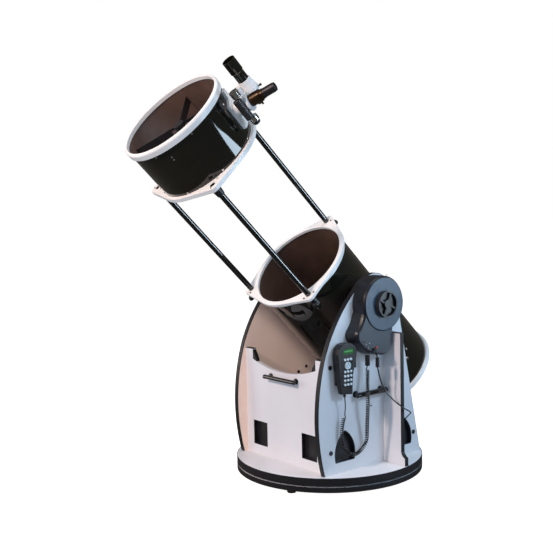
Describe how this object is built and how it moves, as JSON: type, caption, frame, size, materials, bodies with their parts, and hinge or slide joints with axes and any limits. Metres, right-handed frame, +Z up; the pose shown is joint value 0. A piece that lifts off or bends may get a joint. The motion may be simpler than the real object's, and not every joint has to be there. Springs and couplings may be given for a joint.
{
  "type": "dobsonian telescope",
  "caption": "Collapsible strut-tube reflector telescope on a white two-armed rocker box with a motor drive, focuser, finder and hand controller.",
  "frame": {"origin": "on the floor under the feet, on the azimuth axis", "axes": "+Z up along the azimuth axis; the front of the rocker box, towards which the tube points, is -Y; the altitude axis is along X and the drive housing is on the +X side"},
  "size_m": [0.7499, 1.3432, 1.5926],
  "materials": {
    "white_laminate": "satin white laminate",
    "black_edge": "satin black edge trim",
    "rubber": "matt",
    "bearing_steel": "machined",
    "chrome": "polished",
    "black_paint": "gloss black enamel",
    "white_casting": "satin white powder coat",
    "black_casting": "satin black coat",
    "black_plastic": "satin black",
    "black_aluminium": "gloss black anodised",
    "black_steel": "gloss black",
    "gloss_plastic": "gloss black",
    "mirror": "polished",
    "display": "backlit panel",
    "key_rubber": "matt",
    "cord_rubber": "satin"
  },
  "bodies": {
    "ground": {"ground_board": "white_laminate", "ground_edge_band": "black_edge", "ground_feet": "rubber", "azimuth_ring": "bearing_steel", "azimuth_pivot_bolt": "bearing_steel"},
    "rocker": {"turntable_board": "white_laminate", "turntable_edge_band": "black_edge", "side_panel_right": "white_laminate", "side_panel_left": "white_laminate", "front_panel": "white_laminate", "brace_fins": "white_laminate", "panel_trims": "black_edge", "bar_handles": "black_plastic", "corner_brackets": "black_plastic", "panel_bolts": "black_plastic", "cutout_liners": "black_plastic", "altitude_housing": "black_casting", "altitude_motor": "bearing_steel", "altitude_bearings": "black_plastic", "azimuth_drive": "black_plastic", "controller_bracket": "black_plastic", "hand_controller": "gloss_plastic", "controller_display": "display", "curly_cord": "cord_rubber", "cord_tail": "cord_rubber", "cord_plugs": "black_plastic", "motor_lead": "cord_rubber"},
    "keypad": {"controller_keys": "key_rubber"},
    "direction_pad": {"direction_pad": "key_rubber"},
    "altitude_worm": {"altitude_worm": "bearing_steel"},
    "tube": {"lower_tube": "black_paint", "lower_ring": "white_casting", "bottom_ring": "white_casting", "mirror_cell": "black_casting", "primary_mirror": "mirror", "trunnion_hubs": "black_casting", "altitude_shaft": "bearing_steel", "rod_clamps": "black_casting", "collimation_knobs": "black_plastic"},
    "rod_knob_top": {"rod_knob_top": "black_plastic"},
    "rod_knob_left": {"rod_knob_left": "black_plastic"},
    "rod_knob_right": {"rod_knob_right": "black_plastic"},
    "tension_knob": {"tension_knob": "black_plastic"},
    "cage": {"upper_tube": "black_paint", "cage_top_ring": "white_casting", "cage_lower_ring": "white_casting", "slide_rods": "black_steel", "rod_collars": "black_plastic", "spider": "black_casting", "secondary_holder": "black_casting", "secondary_mirror": "mirror", "focuser_base": "white_casting", "focuser_roller_box": "black_casting", "finder_bracket": "white_casting", "finder_tube": "black_aluminium", "cage_screws": "chrome"},
    "drawtube": {"drawtube": "black_casting"},
    "focus_shaft": {"focus_shaft": "chrome"},
    "fine_focus_knob": {"fine_focus_knob": "black_plastic"},
    "eyepiece": {"eyepiece": "black_plastic"}
  },
  "joints": [
    {"name": "azimuth_turn", "type": "hinge", "parent": "ground", "child": "rocker", "pos_m": [0, 0, 0.0355], "axis": [0, 0, 1], "continuous": true},
    {"name": "altitude_turn", "type": "hinge", "parent": "rocker", "child": "tube", "pos_m": [0, 0.004, 0.691], "axis": [1, 0, 0], "range_deg": [-46, 44]},
    {"name": "worm_turn", "type": "hinge", "parent": "rocker", "child": "altitude_worm", "pos_m": [0.28, 0.004, 0.6106], "axis": [0, 1, 0], "continuous": true},
    {"name": "tension_knob_turn", "type": "hinge", "parent": "tube", "child": "tension_knob", "pos_m": [0.32, 0.004, 0.691], "axis": [1, 0, 0], "range_deg": [-180, 180]},
    {"name": "rod_knob_top_turn", "type": "hinge", "parent": "tube", "child": "rod_knob_top", "pos_m": [0, 0.05178, 0.9924], "axis": [0, 0.6947, 0.7193], "range_deg": [0, 360]},
    {"name": "rod_knob_left_turn", "type": "hinge", "parent": "tube", "child": "rod_knob_left", "pos_m": [-0.19263, -0.23258, 0.69793], "axis": [-0.7705, -0.4428, -0.4585], "range_deg": [0, 360]},
    {"name": "rod_knob_right_turn", "type": "hinge", "parent": "tube", "child": "rod_knob_right", "pos_m": [0.19263, -0.23258, 0.69793], "axis": [0.7705, -0.4428, -0.4585], "range_deg": [0, 360]},
    {"name": "cage_collapse", "type": "slide", "parent": "tube", "child": "cage", "axis": [0, -0.7193, 0.6947], "range_m": [-0.532, 0]},
    {"name": "focus_travel", "type": "slide", "parent": "cage", "child": "drawtube", "axis": [0.8141, 0.4034, 0.4177], "range_m": [-0.03, 0.022]},
    {"name": "focus_shaft_turn", "type": "hinge", "parent": "cage", "child": "focus_shaft", "pos_m": [0.21735, -0.55601, 1.3995], "axis": [0, -0.7193, 0.6947], "range_deg": [-236, 320]},
    {"name": "fine_focus_turn", "type": "hinge", "parent": "focus_shaft", "child": "fine_focus_knob", "pos_m": [0.21735, -0.51069, 1.35574], "axis": [0, -0.7193, 0.6947], "continuous": true},
    {"name": "eyepiece_lift", "type": "slide", "parent": "drawtube", "child": "eyepiece", "axis": [0.8141, 0.4034, 0.4177], "range_m": [0, 0.036]},
    {"name": "keypad_press", "type": "slide", "parent": "rocker", "child": "keypad", "axis": [-1, 0, 0], "range_m": [0, 0.0008], "stiffness_N_per_m": 700},
    {"name": "direction_pad_press", "type": "slide", "parent": "rocker", "child": "direction_pad", "axis": [-1, 0, 0], "range_m": [0, 0.0008], "stiffness_N_per_m": 400}
  ],
  "couplings": [
    {"joint": "focus_shaft_turn", "follows": "focus_travel", "rad_per_m": -181.82},
    {"joint": "worm_turn", "follows": "altitude_turn", "ratio": -144}
  ]
}
